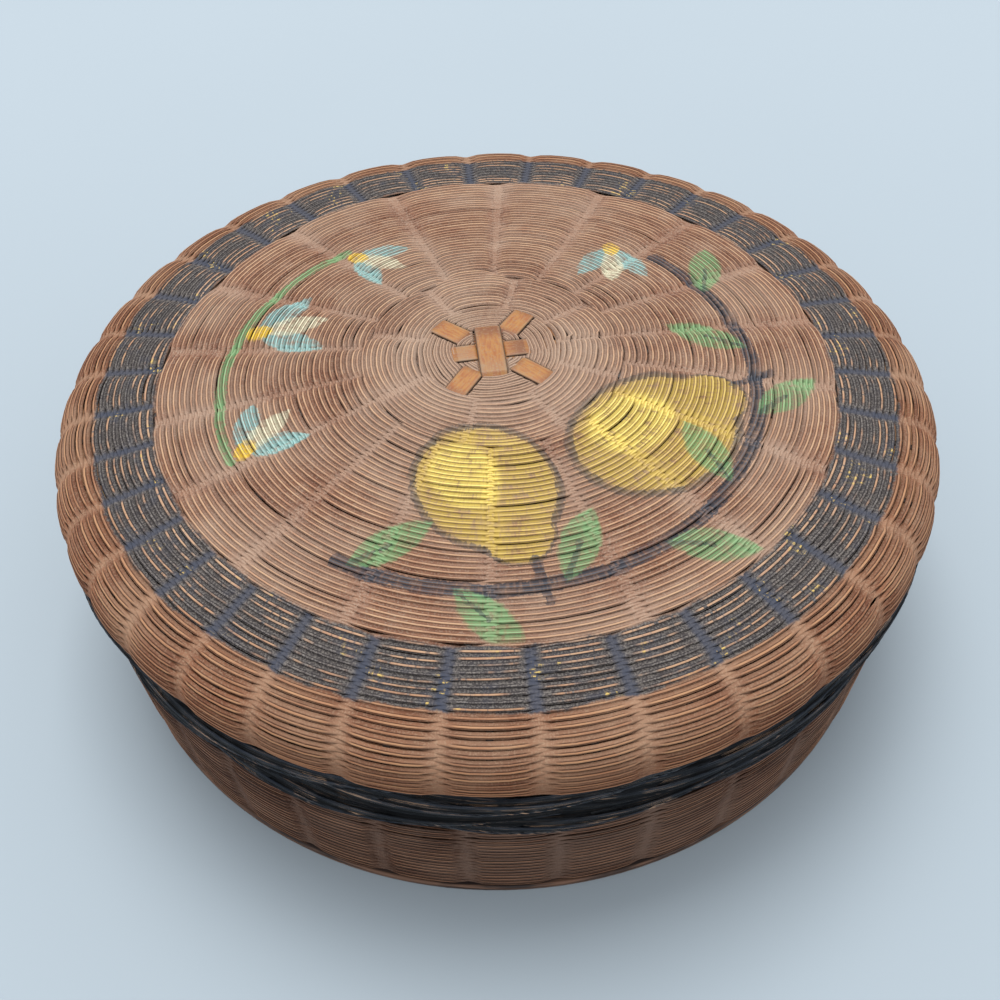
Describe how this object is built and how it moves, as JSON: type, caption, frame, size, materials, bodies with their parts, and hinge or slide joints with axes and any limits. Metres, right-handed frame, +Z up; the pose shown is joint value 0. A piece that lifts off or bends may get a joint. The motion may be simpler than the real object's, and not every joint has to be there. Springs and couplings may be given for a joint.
{
  "type": "round lidded basket",
  "caption": "Low round basket of woven split reed on bamboo slats, with a domed lift-off lid and twisted rope borders on both rims.",
  "frame": {"origin": "on the table, under the middle of the foot", "axes": "+Z up along the way the lid lifts, -Y towards the front of the picture, +X to its right"},
  "size_m": [0.2612, 0.2614, 0.0858],
  "materials": {
    "lid_rows": "matte stained reed",
    "base_rows": "matte stained reed",
    "slats": "satin bamboo",
    "border": "worn dark stain on reed",
    "hoops": "matte bamboo"
  },
  "bodies": {
    "base": {"base_centre_weave": "base_rows", "base_floor_weave": "base_rows", "base_wall_weave": "base_rows", "base_long_slat": "slats", "base_right_diagonal_slat": "slats", "base_left_diagonal_slat": "slats", "base_cross_slat": "slats", "base_added_slat": "slats", "base_border_strand_1": "border", "base_border_strand_2": "border", "base_border_strand_3": "border", "foot_hoop": "hoops", "seat_hoop": "hoops"},
    "lid": {"lid_centre_weave": "lid_rows", "lid_top_weave": "lid_rows", "lid_rim_weave": "lid_rows", "lid_long_slat": "slats", "lid_right_diagonal_slat": "slats", "lid_left_diagonal_slat": "slats", "lid_cross_slat": "slats", "lid_added_slat": "slats", "lid_border_strand_1": "border", "lid_border_strand_2": "border", "lid_border_strand_3": "border"}
  },
  "joints": [
    {"name": "lid_lift", "type": "slide", "parent": "base", "child": "lid", "axis": [0, 0, 1], "range_m": [0, 0.12]}
  ]
}
